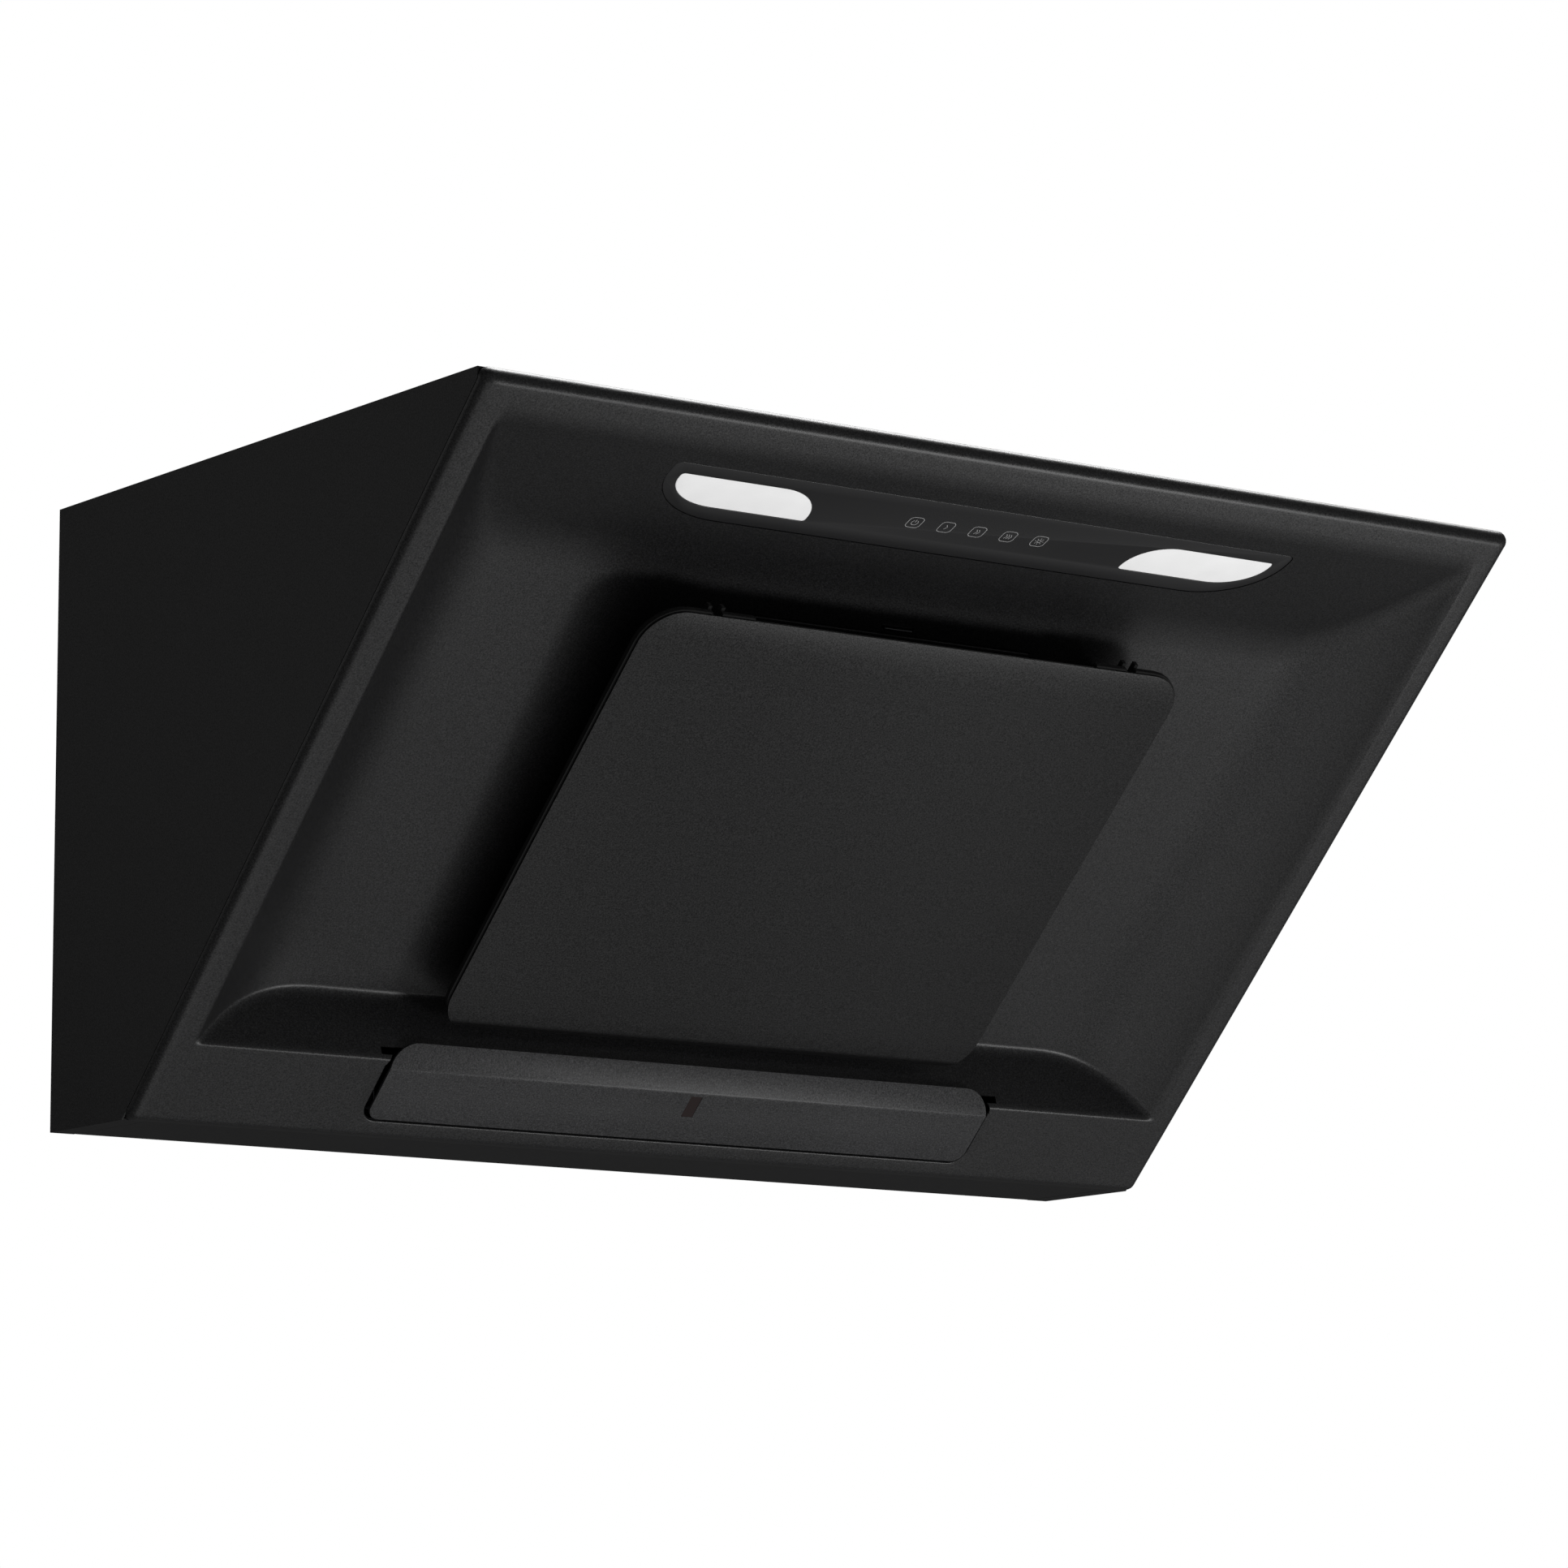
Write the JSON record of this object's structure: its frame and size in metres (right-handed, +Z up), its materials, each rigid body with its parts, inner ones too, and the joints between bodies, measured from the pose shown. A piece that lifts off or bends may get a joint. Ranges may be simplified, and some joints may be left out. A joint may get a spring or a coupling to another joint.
{
  "type": "inclined wall-mounted kitchen extractor hood",
  "caption": "Wedge-shaped black kitchen hood with a sloping front, deep-drawn recess, hinged flat suction panel, slide-out oil tray, touch strip, lamps and a round duct collar.",
  "frame": {"origin": "centre of the casing's wall face, which is also the centre of the four wall bolts", "axes": "+Z up, -Y into the room away from the wall, +X to the right of someone who faces the hood"},
  "size_m": [0.895, 0.5444, 0.49],
  "materials": {
    "frame_paint": "fine-textured satin powder coat, black",
    "casing_paint": "fine-textured matte powder coat, black",
    "zinc_steel": "zinc-plated sheet",
    "shaft_steel": "turned steel",
    "fan_aluminium": "mill finish",
    "filter_aluminium": "expanded mesh, mill finish",
    "motor_casting": "die-cast",
    "black_plastic": "moulded, matte",
    "grey_plastic": "moulded, matte",
    "rubber": "moulded",
    "smoked_red": "smoked translucent",
    "black_glass": "dark tinted touch panel, satin",
    "opal_lens": "opal, lit from behind",
    "board_green": "solder-masked circuit board",
    "board_white": "white-masked circuit board"
  },
  "bodies": {
    "hood": {"front_frame": "frame_paint", "left_side_panel": "casing_paint", "right_side_panel": "casing_paint", "top_panel": "casing_paint", "back_panel": "casing_paint", "bottom_panel": "casing_paint", "wall_plates": "zinc_steel", "panel_screws": "zinc_steel", "scroll_housing": "zinc_steel", "scroll_cover": "zinc_steel", "inlet_ring": "black_plastic", "outlet_box": "zinc_steel", "rubber_bushes": "rubber", "motor": "motor_casting", "motor_screws": "zinc_steel", "duct_collar": "black_plastic", "collar_screws": "zinc_steel", "damper_pin": "shaft_steel", "filter_frame": "casing_paint", "filter_mesh": "filter_aluminium", "filter_catch": "shaft_steel", "hinge_brackets": "black_plastic", "catch_posts": "black_plastic", "tray_runners": "zinc_steel", "control_glass": "black_glass", "control_carrier": "black_plastic", "touch_board": "board_green", "lamp_lens_left": "opal_lens", "lamp_lens_right": "opal_lens", "led_board_left": "board_white", "led_board_right": "board_white", "power_box": "black_plastic", "power_box_lid": "black_plastic", "power_board": "board_green", "capacitor": "grey_plastic", "cable_gland": "black_plastic"},
    "fan": {"impeller": "fan_aluminium", "impeller_nut": "zinc_steel", "motor_shaft": "shaft_steel"},
    "flap_left": {"damper_flap_left": "grey_plastic"},
    "flap_right": {"damper_flap_right": "grey_plastic"},
    "baffle": {"baffle_plate": "frame_paint", "baffle_back_frame": "black_plastic", "baffle_hinge_ears": "black_plastic", "baffle_hinge_pins": "shaft_steel", "catch_studs": "shaft_steel"},
    "tray": {"oil_tray": "black_plastic", "tray_cover": "frame_paint", "level_window": "smoked_red"}
  },
  "joints": [
    {"name": "baffle_hinge", "type": "hinge", "parent": "hood", "child": "baffle", "pos_m": [0, -0.41618, 0.10489], "axis": [-1, 0, 0], "range_deg": [0, 75]},
    {"name": "tray_slide", "type": "slide", "parent": "hood", "child": "tray", "axis": [0, -1, 0], "range_m": [0, 0.065]},
    {"name": "impeller_spin", "type": "hinge", "parent": "hood", "child": "fan", "pos_m": [-0.116, -0.06, 0], "axis": [0, 1, 0], "continuous": true},
    {"name": "flap_left_hinge", "type": "hinge", "parent": "hood", "child": "flap_left", "pos_m": [0, -0.087, 0.2365], "axis": [0, 1, 0], "range_deg": [0, 78]},
    {"name": "flap_right_hinge", "type": "hinge", "parent": "hood", "child": "flap_right", "pos_m": [0, -0.087, 0.2365], "axis": [0, -1, 0], "range_deg": [0, 78]}
  ]
}
